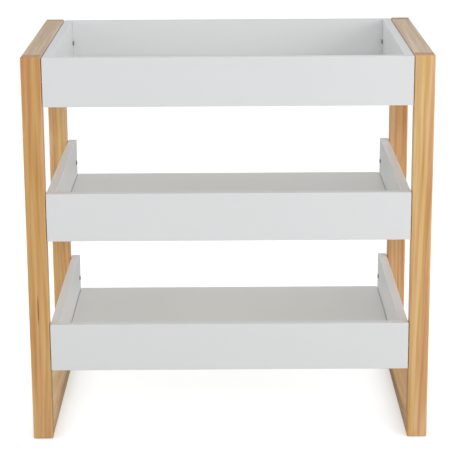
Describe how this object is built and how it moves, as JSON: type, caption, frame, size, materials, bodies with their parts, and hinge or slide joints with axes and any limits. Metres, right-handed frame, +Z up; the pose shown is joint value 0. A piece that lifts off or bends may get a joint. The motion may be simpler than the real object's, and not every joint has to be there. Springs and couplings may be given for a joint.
{
  "type": "changing table",
  "caption": "Open changing table of painted board trays between two rounded timber end frames, with a walled top tray for a mat and open shelves below.",
  "frame": {"origin": "middle of the footprint, on the ground under the end frames", "axes": "+X along the width to the right, +Y from the front walls of the trays to the back, +Z up"},
  "size_m": [0.888, 0.572, 0.87],
  "materials": {
    "timber": "satin clear lacquer on pine",
    "painted_board": "satin white paint on medium-density fibreboard",
    "dowel": "plain beech",
    "insert": "zinc plated",
    "bolt": "dark bronze plated",
    "washer": "zinc plated",
    "cam_bolt": "zinc plated",
    "cam": "die-cast zinc",
    "cap": "moulded white"
  },
  "bodies": {
    "root": {"left_back_post": "timber", "left_bottom_rail": "timber", "left_frame_dowels": "dowel", "left_frame_inserts": "insert", "left_front_post": "timber", "left_top_rail": "timber", "lower_tray_bolts": "bolt", "lower_tray_cam_bolts": "cam_bolt", "lower_tray_cam_caps": "cap", "lower_tray_cams": "cam", "lower_tray_dowels": "dowel", "lower_tray_floor": "painted_board", "lower_tray_front": "painted_board", "lower_tray_left_side": "painted_board", "lower_tray_right_side": "painted_board", "lower_tray_washers": "washer", "middle_tray_bolts": "bolt", "middle_tray_cam_bolts": "cam_bolt", "middle_tray_cam_caps": "cap", "middle_tray_cams": "cam", "middle_tray_dowels": "dowel", "middle_tray_floor": "painted_board", "middle_tray_front": "painted_board", "middle_tray_left_side": "painted_board", "middle_tray_right_side": "painted_board", "middle_tray_washers": "washer", "right_back_post": "timber", "right_bottom_rail": "timber", "right_frame_dowels": "dowel", "right_frame_inserts": "insert", "right_front_post": "timber", "right_top_rail": "timber", "top_tray_back": "painted_board", "top_tray_bolts": "bolt", "top_tray_cam_bolts": "cam_bolt", "top_tray_cam_caps": "cap", "top_tray_cams": "cam", "top_tray_dowels": "dowel", "top_tray_floor": "painted_board", "top_tray_front": "painted_board", "top_tray_left_side": "painted_board", "top_tray_right_side": "painted_board", "top_tray_washers": "washer"}
  },
  "joints": []
}
